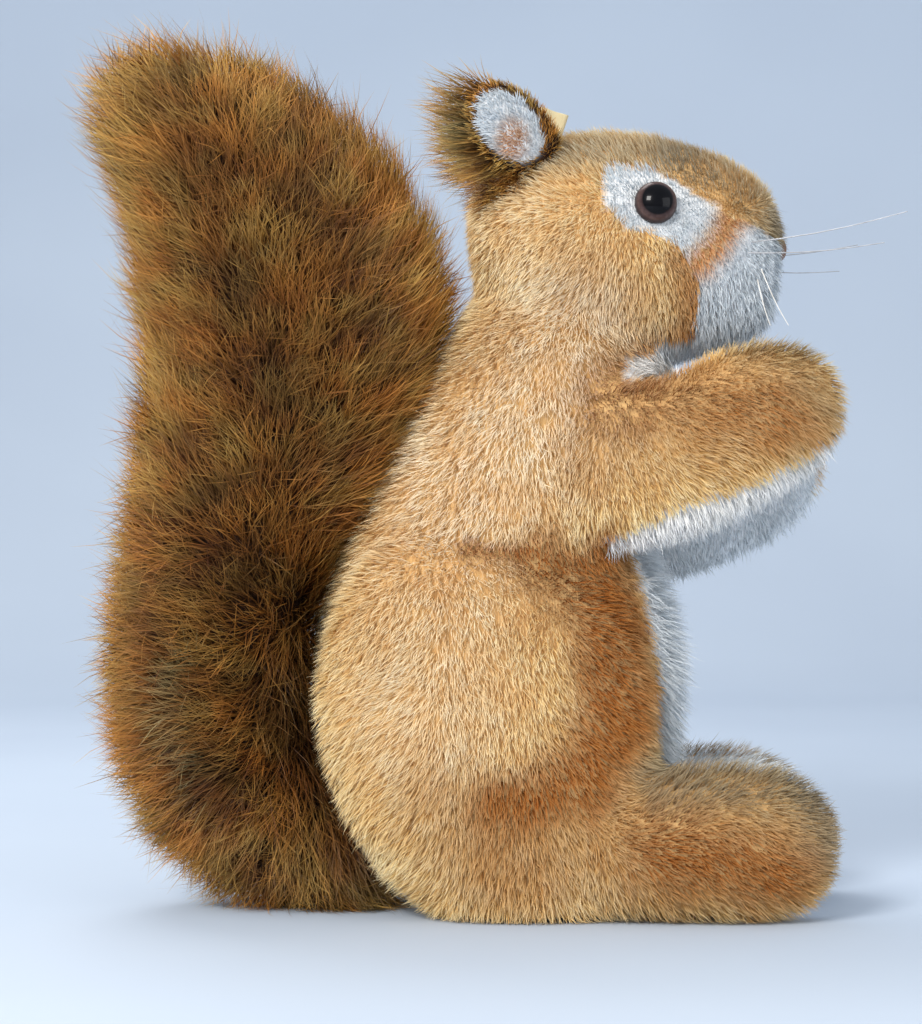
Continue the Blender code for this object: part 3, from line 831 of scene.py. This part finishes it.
def cover_body(mesh, owner, flow):
    """The pile of the body, and the roots round the ears that the brown pile takes."""
    roots, normals, field = scatter(mesh, BODY_STRANDS, body_weight, np.random.default_rng(3))
    surface = roots + normals * BODY_INSET
    part = owner.of(surface)
    pile = Pile(roots, normals, 11)
    pile.flow = unit(field(flow)) + drift(roots, 0.03, 41) * 0.2
    near, way, covered = near_eye(surface)
    pile.flow += way * near[:, None]
    x = roots[:, 0] / MM
    z = roots[:, 2] / MM
    face = part("head", "muzzle", "eye_patch")
    white = pale_areas(surface, normals, part)
    pile.length[face] *= 0.84
    pile.length[face & white] *= 0.70
    pile.length *= 1.0 - 0.4 * near
    pile.length[part("leg", "foot")] *= 1.06
    arm = part("arm")
    seam = z - np.interp(x, *zip(*ARM_BORDER))
    right = roots[:, 1] < 0
    pile.length *= np.where(arm & ~white & right, 1.0 - 0.4 * (1 - ramp(seam, 0.0, 5.0)), 1.0)
    pile.length *= np.where(arm & (z > ARM_TOP) & (x < 50.0), 0.75, 1.0)
    lit = arm & white & right
    throat = white & ~face & (z > ARM_TOP) & (x < 36.0)
    pile.flow[lit] = unit(pile.flow[lit]) * 0.35 + np.array((0.25, -0.15, -0.8))
    pile.rise[lit] = 12.0
    pile.settle[lit] = 50.0
    hidden = arm & white & (roots[:, 1] > 0) & (normals[:, 1] < 0.2)
    pile.length[hidden] *= 0.6
    belly = part("belly")
    pile.length[belly] *= 1.5
    pile.rise[belly] = 14.0
    pile.settle[belly] = 46.0
    chin = face & white & (normals[:, 2] < -0.35)
    pile.length[chin] *= 1.5
    bridge = face & (x > 30) & (z > 196)
    pile.length[bridge] *= 0.8
    band = stroked(roots, BAND_STROKES, 63, 0.5)
    # Painted shade: the face's white pile is mixed toward a cool grey; on the tan the olive strokes darken it
    pile.dark = np.where(white, 0.14 * face * (1.0 - band), stroked(roots, OLIVE_STROKES, 61))
    # Painted light: the lit band on the near arm and the throat take the lit white; on the tan the cream
    # strokes, partly painted light
    pile.pale = np.where(white, lit | throat, stroked(roots, CREAM_AND_LIGHT_STROKES, 64))
    # The rust strokes are airbrush, with painted shade in the creases
    pile.tint = np.where(white, face * band, stroked(roots, RUST_AND_SHADE_STROKES, 62))
    tuft = (ear_root_gap(roots) < TUFT_REACH) & part("head", "ear", "torso")
    buried = part("tail") | covered
    points = pile.shaped(segments=2, tuft_size=0.0020, gather=0.14, tuft_swing=0.12)
    tan = ~white & ~buried & ~tuft & ~part("ear")
    pale = white & ~buried & ~tuft
    for name, mask, kind, slot in (("tan", tan, TAN, "plush_tan"), ("white", pale, WHITE, "plush_white")):
        shares = math.ceil(mask.sum() / BLADES_PER_PIECE)
        blades(f"pile_{name}", pile.pick(mask), points[mask], PLUSH_WIDTH, kind, shares)
    return roots[tuft], normals[tuft]


def ear_root_gap(points):
    """How far each point is from the nearer ear's root, unevenly."""
    mirrored = points * np.array((1.0, -1.0, 1.0))
    gaps = [np.linalg.norm(side - EAR_ROOT, axis=1) for side in (points, mirrored)]
    return np.minimum(*gaps) + drift(points, 0.01, 7)[:, 0] * 0.0015


# The brush of the tail

# Height in mm at which the haunch presses the tail's pile backwards, and how far that reaches
PRESSED = 64.0
PRESSED_REACH = 34.0


def make_tail():
    tail = skin("tail_skin", ["tail"], 0.003, TAIL_INSET, 8, BROWN_SKIN)
    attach(tail, "root")
    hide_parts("tail")
    outline = corners(NODES["tail"].data)
    heights = np.linspace(outline[:, 2].min() + 0.004, outline[:, 2].max() - 0.004, 22)
    middle = []
    half = []
    for height in heights:
        slab = outline[np.abs(outline[:, 2] - height) < 0.012]
        middle.append(0.5 * (slab[:, 0].min() + slab[:, 0].max()))
        half.append(max(0.5 * (slab[:, 0].max() - slab[:, 0].min()), 0.008))
    cover_tail(tail.data, heights, middle, half)


def evenly(places):
    return np.ones(len(places))


def cover_tail(mesh, heights, middle, half):
    """Long pile that parts along the middle of the tail and runs out to its edges."""
    roots, normals, _ = scatter(mesh, TAIL_STRANDS, evenly, np.random.default_rng(23))
    pile = Pile(roots, normals, 23)
    z = roots[:, 2]
    off = (roots[:, 0] - np.interp(z, heights, middle)) / np.interp(z, heights, half)
    level = z / MM
    up = np.interp(level, (0, 20, 60, 105, 160, 250), (-1.2, -0.9, -0.15, 0.45, 1.0, 1.3))
    sideways = 1.5 * np.exp(-(((level - PRESSED) / PRESSED_REACH) ** 2))
    across = off * 1.35 - sideways
    top_right = ramp(level, 165, 200) * ramp(off, -0.1, 0.35)
    across = across * (1 - 0.9 * top_right) - 0.35 * top_right
    pile.flow = np.stack((across, np.zeros_like(across), up), axis=1)
    inner = 1 - ramp(np.abs(off), 0.2, 0.7)
    pile.flow += drift(roots, 0.03, 71) * (0.26 + 0.08 * inner)[:, None]
    side_face = ramp(np.abs(normals[:, 1]), 0.35, 0.85)
    pile.length = BRUSH_LENGTH * (1.0 - 0.28 * inner * side_face)
    corner = ramp(-roots[:, 0] / MM, 88, 112) * ramp(level, 195, 225)
    pile.length *= 1.0 + 0.1 * corner
    pile.flow += np.stack((-corner, 0 * corner, 0.3 * corner), axis=1)
    pile.rise = 42.0 - 8.0 * inner * side_face
    pile.settle = 80.0 - 7.0 * inner * side_face
    pile.swing = 0.2 + 0.2 * inner * side_face
    edge = ramp(np.abs(off), 0.45, 0.95)
    rim = np.maximum(edge, np.maximum(ramp(level, 195, 238), 0.8 * (1 - ramp(level, 8, 34))))
    gold = 0.26 + 0.56 * rim + 0.16 * edge * (off < 0)
    pile.tint = np.clip(gold + drift(roots, 0.02, 72)[:, 0] * 0.16, 0, 1)
    pile.dark = np.clip(0.35 * inner * side_face + drift(roots, 0.014, 73)[:, 1] * 0.22, 0, 0.6)
    # Painted shade: the pile darkened low on the tail where the haunch shades it
    shade_by_haunch = ramp(off, 0.1, 0.6) * (1 - ramp(level, 60, 110)) * ramp(level, 4, 14)
    pile.dark = np.maximum(pile.dark, 0.75 * shade_by_haunch)
    pile.pale = (pile.rng.random(pile.count) < 0.035) * 0.85
    points = pile.shaped(segments=3, tuft_size=0.0055, gather=0.36, tuft_swing=0.24)
    blades("pile_tail", pile, points, BRUSH_WIDTH, BROWN, shares=2)


# Ears

# The middle of the pink-brown in the ear's lining, (x, z) in mm
EAR_PINK = (-13.5, 215.0)


def make_ears():
    for label, side in SIDES:
        back = f"ear_back_{label}"
        lining = f"ear_lining_{label}"
        ear = skin(f"ear_skin_{label}", [back, lining], 0.0012, EAR_INSET, 3, BROWN_SKIN)
        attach(ear, "root")
        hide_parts(back, lining)
        owner = Owner([back, lining])
        surface = corners(ear.data) + normals_of(ear.data) * EAR_INSET
        lined = owner.of(surface)("ear_lining").astype(float)
        spread = smoothed(ear.data, lined[:, None], 4)[:, 0]
        set_field(ear.data, "pale", np.maximum(lined, 0.7 * spread))
        roots, normals, _ = scatter(ear.data, EAR_STRANDS, evenly, np.random.default_rng(5))
        inner = owner.of(roots + normals * EAR_INSET)("ear_lining")
        low, high = (np.array(corner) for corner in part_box(back))
        root = np.array((high[0], 0.5 * (low[1] + high[1]), low[2]))
        pile = Pile(roots, normals, 31)
        pile.flow = unit(roots - root) + np.array((-0.35, 0.0, 0.0))
        rearward = ramp(-normals[:, 0], 0.0, 0.7) * (1 - ramp(normals[:, 1] * side, 0.2, 0.6))
        pile.length = 0.0024 + 0.0125 * rearward
        pile.flow += np.outer(rearward, (-1.3, 0.0, -0.15))
        pile.rise = 34.0 - 10.0 * rearward
        pile.settle = 64.0 - 10.0 * rearward
        pile.swing[:] = 0.26
        pile.length[inner] = 0.0030
        pile.tint = 0.85 - 0.45 * rearward + drift(roots, 0.008, 81)[:, 0] * 0.2
        pile.pale = (0.6 + 0.15 * rearward + 0.25 * drift(roots, 0.01, 83)[:, 0]).clip(0, 0.9) * ~inner
        offset = (roots[:, (0, 2)] / MM - EAR_PINK) * (1.0, 0.8)
        pink = 1 - ramp(np.linalg.norm(offset, axis=1), 2.0, 6.0)
        pile.tint[inner] = (0.85 * pink)[inner]
        points = pile.shaped(segments=3, tuft_size=0.0026, gather=0.35, tuft_swing=0.2)
        covers = (("back", ~inner, BROWN, "plush_brown"), ("lining", inner, WHITE, "plush_white"))
        for cover, mask, kind, slot in covers:
            blades(f"pile_ear_{cover}_{label}", pile.pick(mask), points[mask], PLUSH_WIDTH, kind)


def make_ear_roots(roots, normals):
    """The brown tufts behind and below the ears, on the roots that the body leaves free."""
    pile = Pile(roots, normals, 37)
    middle = np.tile(EAR_ROOT, (len(roots), 1))
    middle[:, 1] *= np.sign(roots[:, 1])
    pile.flow = unit(roots - middle) + np.array((-0.25, 0.0, -0.45))
    pile.length[:] = EAR_TUFT_LENGTH
    pile.rise[:] = 34.0
    pile.settle[:] = 66.0
    pile.swing[:] = 0.3
    forward = ramp(roots[:, 0] / MM, -27, -14)
    pile.tint = 0.25 + 0.6 * forward
    pile.dark = 0.55 * (1 - forward)
    points = pile.shaped(segments=3, tuft_size=0.003, gather=0.4, tuft_swing=0.2)
    blades("pile_ear_root", pile, points, PLUSH_WIDTH, BROWN)


# Eyes, nose, tape and whiskers

def eye_material():
    """A black pupil, a brown ring and a dark rim under a clear coat."""
    material, tree, shader = new_material("eye_gloss", 0.28, 0.05)
    pupil = ((0.0, (5, 4, 7)), (0.69, (7, 5, 7)))
    ring = ((0.76, (66, 50, 48)), (0.90, (92, 73, 70)), (1.0, (48, 36, 36)))
    colour = colour_ramp(tree, attribute(tree, "off_axis"), pupil + ring)
    flecks = colour_ramp(tree, noise(tree, 900.0), ((0.35, (220, 214, 212)), (0.65, (255, 255, 255))))
    tree.links.new(mixed(tree, 1.0, colour, flecks, "MULTIPLY"), shader.inputs["Base Color"])
    set_inputs(shader, {"Coat Weight": 0.42, "Coat IOR": 1.36, "Coat Roughness": 0.02})
    return material


def make_eyes():
    """Polished domes that stand for the faceted eyes of the frame."""
    gloss = eye_material()
    radius = 0.0059
    height = 0.0046
    sunk = 0.0004
    shank = 0.0015
    around = 64
    angles = [math.radians(degrees) for degrees in range(6, 91, 6)]
    profile = [(radius * math.sin(angle), height * math.cos(angle)) for angle in angles]
    profile += [(0.985 * radius, -0.0008), (shank, -0.0012), (shank, -0.0080)]
    for label, side in SIDES:
        _, axis = EYES[label]
        places = corners(NODES[f"eye_{label}"].data)
        heights = places @ np.array(axis)
        on_axis = places[heights > heights.max() - 1e-5].mean(axis=0)
        facing = (axis + Vector((0.0, 2.8 * side, 0.0))).normalized()
        turn = facing.to_track_quat("Z", "Y").to_matrix().to_4x4()
        place = Matrix.Translation(Vector(on_axis) - axis * (height - sunk)) @ turn
        shape = bmesh.new()
        layer = shape.verts.layers.float.new("off_axis")
        rings = []
        for out, rise in profile:
            ring = []
            for step in range(around):
                angle = math.tau * step / around
                vertex = shape.verts.new(place @ Vector((out * math.cos(angle), out * math.sin(angle), rise)))
                vertex[layer] = out / radius
                ring.append(vertex)
            rings.append(ring)
        for first, second in zip(rings, rings[1:]):
            for step in range(around):
                follow = (step + 1) % around
                shape.faces.new((first[step], second[step], second[follow], first[follow]))
        crown = shape.verts.new(place @ Vector((0, 0, height)))
        for step in range(around):
            shape.faces.new((crown, rings[0][step], rings[0][(step + 1) % around]))
        shape.faces.new(list(reversed(rings[-1])))
        eye = as_object(shape, f"eye_dome_{label}")
        finish(eye.data, gloss)
        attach(eye, "root")
        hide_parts(f"eye_{label}")


def thread_material(name, pale, deep, scale):
    """Twisted or woven thread: fine ribs and soft colour changes."""
    material, tree, shader = new_material(name, 0.62, 0.35)
    ribs = ribbed(tree, shader, scale, distortion=1.5, strength=0.5, depth=0.0002)
    # Painted shade: the colour follows the ribs, deeper in their grooves
    colour = colour_ramp(tree, ribs, ((0.1, deep), (0.8, pale)))
    flecks = colour_ramp(tree, noise(tree, 500.0), ((0.3, deep), (0.7, pale)))
    tree.links.new(mixed(tree, 0.25, colour, flecks), shader.inputs["Base Color"])
    return material


def make_nose():
    """Satin stitches side by side over the small pad at the tip of the muzzle."""
    low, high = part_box("nose")
    middle = 0.5 * (Vector(low) + Vector(high))
    half = 0.5 * (Vector(high) - Vector(low))
    stitches = 15
    thread = 0.00036
    around = 8
    shape = bmesh.new()
    for stitch in range(stitches):
        share = 2.0 * (stitch + 0.5) / stitches - 1.0
        girth = math.sqrt(max(1.0 - share * share, 0.05))
        rings = []
        for step in range(13):
            angle = math.radians(-88 + 176 * step / 12)
            ahead = low[0] + 1.2 * half.x * girth * math.cos(angle)
            rise = middle.z + half.z * girth * math.sin(angle)
            centre = Vector((ahead, middle.y + half.y * share, rise))
            outward = Vector((math.cos(angle), 0, math.sin(angle)))
            ring = []
            for corner in range(around):
                turn = math.tau * corner / around
                spoke = outward * math.cos(turn) + Vector((0, 1, 0)) * math.sin(turn)
                ring.append(shape.verts.new(centre + spoke * thread))
            rings.append(ring)
        bridge(shape, rings, closed=True)
        shape.faces.new(list(reversed(rings[0])))
        shape.faces.new(rings[-1])
    bmesh.ops.recalc_face_normals(shape, faces=shape.faces)
    nose = as_object(shape, "nose_stitches")
    finish(nose.data, thread_material("nose_thread", (150, 116, 98), (108, 78, 64), 2600.0))
    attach(nose, "root")
    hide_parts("nose")


def make_tape():
    """A folded loop of plain woven tape at the ear."""
    low, high = (Vector(corner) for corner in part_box("ear_label"))
    middle = 0.5 * (low + high)
    lean = Matrix.Rotation(math.radians(18.0), 4, "Y")
    width = 0.0086
    length = 0.0150
    gap = 0.0004
    waviness = 0.0005
    path = [(-gap, -0.5 * length + length * step / 10) for step in range(11)]
    for angle in map(math.radians, (-60, -30, 0, 30, 60)):
        path.append((gap * math.sin(angle), 0.5 * length + gap * math.cos(angle)))
    path += [(gap, 0.5 * length - length * step / 10) for step in range(11)]
    shape = bmesh.new()
    rows = []
    for across, rise in path:
        row = []
        for step in range(9):
            share = step / 8 - 0.5
            sag = waviness * math.sin(9 * share + 160 * rise)
            row.append(shape.verts.new(middle + lean @ Vector((share * width, across + sag, rise))))
        rows.append(row)
    bridge(shape, rows)
    tape = as_object(shape, "ear_tape")
    thick = tape.modifiers.new("thick", "SOLIDIFY")
    thick.thickness = 0.00035
    thick.offset = 0.0
    weave = thread_material("tape_weave", (226, 214, 176), (196, 180, 138), 1500.0)
    finish(evaluated(tape), weave)
    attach(tape, "root")
    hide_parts("ear_label")


def dress_frame_nodes():
    """Procedural finishes for the nodes that stay: the whiskers and the hidden washers."""
    nylon = speckled("whisker_nylon", 0.25, 300.0, (206, 200, 190), (238, 236, 230))
    grey = speckled("whisker_grey", 0.25, 300.0, (150, 152, 156), (188, 190, 194))
    moulded = speckled("washer_plastic", 0.5, 800.0, (214, 214, 206), (232, 232, 226))
    for name, node in NODES.items():
        kind = None
        if name.startswith("whisker"):
            kind = grey if name.endswith(("1", "2")) else nylon
        if name.startswith("eye_washer"):
            kind = moulded
        if kind:
            if not node.material_slots:
                node.data.materials.append(kind)
            for entry in node.material_slots:
                entry.material = kind


# Studio

def make_floor():
    """Plain paper under the toy that bends up behind it."""
    start = 0.8
    bend = 0.5
    profile = [(-4.0, 0.0), (-1.2, 0.0), (0.0, 0.0), (start, 0.0)]
    for angle in map(math.radians, range(10, 91, 10)):
        profile.append((start + bend * math.sin(angle), bend - bend * math.cos(angle)))
    profile += [(start + bend, 1.2), (start + bend, 2.6)]
    shape = bmesh.new()
    rows = []
    for y, z in profile:
        rows.append([shape.verts.new((x, y, z)) for x in (-4.0, -1.5, 0.0, 1.5, 4.0)])
    bridge(shape, rows)
    floor = as_object(shape, "studio_floor")
    paper = speckled("studio_paper", 0.9, 3.0, (190, 203, 220), (197, 210, 226), 0.1)
    finish(floor.data, paper)


def make_world():
    """Pale blue where the camera or a reflection meets it, and a near-white light for all else."""
    world = bpy.data.worlds.new("studio_world")
    bpy.context.scene.world = world
    world.use_nodes = True
    tree = world.node_tree
    light = tree.nodes["Background"]
    set_inputs(light, {"Color": (0.98, 0.99, 1.0, 1.0), "Strength": 0.66})
    shown = tree.nodes.new("ShaderNodeBackground")
    set_inputs(shown, {"Color": srgb(200, 212, 228)})
    path = tree.nodes.new("ShaderNodeLightPath")
    seen = path.outputs["Is Camera Ray"]
    for ray in ("Is Glossy Ray", "Is Transmission Ray"):
        either = tree.nodes.new("ShaderNodeMath")
        either.operation = "MAXIMUM"
        tree.links.new(seen, either.inputs[0])
        tree.links.new(path.outputs[ray], either.inputs[1])
        seen = either.outputs["Value"]
    choice = tree.nodes.new("ShaderNodeMixShader")
    tree.links.new(seen, choice.inputs["Fac"])
    tree.links.new(light.outputs["Background"], choice.inputs[1])
    tree.links.new(shown.outputs["Background"], choice.inputs[2])
    tree.links.new(choice.outputs["Shader"], tree.nodes["World Output"].inputs["Surface"])


def make_lamps():
    target = Vector((-0.03, 0.0, 0.12))
    for name, place, size, power, colour in (
        ("key", (-0.55, -1.0, 0.75), 0.40, 15.0, (1.0, 0.97, 0.93)),
        ("fill", (0.95, -0.75, 0.35), 0.8, 4.0, (0.95, 0.97, 1.0)),
        ("rim", (-0.3, 0.45, 0.9), 0.5, 4.0, (1.0, 0.98, 0.95)),
    ):
        lamp = bpy.data.lights.new(name, "AREA")
        lamp.size = size
        lamp.energy = power
        lamp.color = colour
        obj = link(bpy.data.objects.new(name, lamp))
        obj.location = place
        obj.rotation_euler = (target - Vector(place)).to_track_quat("-Z", "Y").to_euler()


def make_camera():
    lens = bpy.data.cameras.new("camera")
    lens.sensor_width = 36.0
    lens.lens = 92.3
    camera = link(bpy.data.objects.new("camera", lens))
    camera.location = (-0.0283, -0.750, 0.1125)
    camera.rotation_euler = (math.radians(90.0), 0.0, 0.0)
    bpy.context.scene.camera = camera


make_camera()
make_floor()
make_world()
make_lamps()
tuft_roots, tuft_normals = make_body()
make_tail()
make_ears()
make_ear_roots(tuft_roots, tuft_normals)
make_eyes()
make_nose()
make_tape()
dress_frame_nodes()
bpy.context.scene.view_settings.view_transform = "Standard"
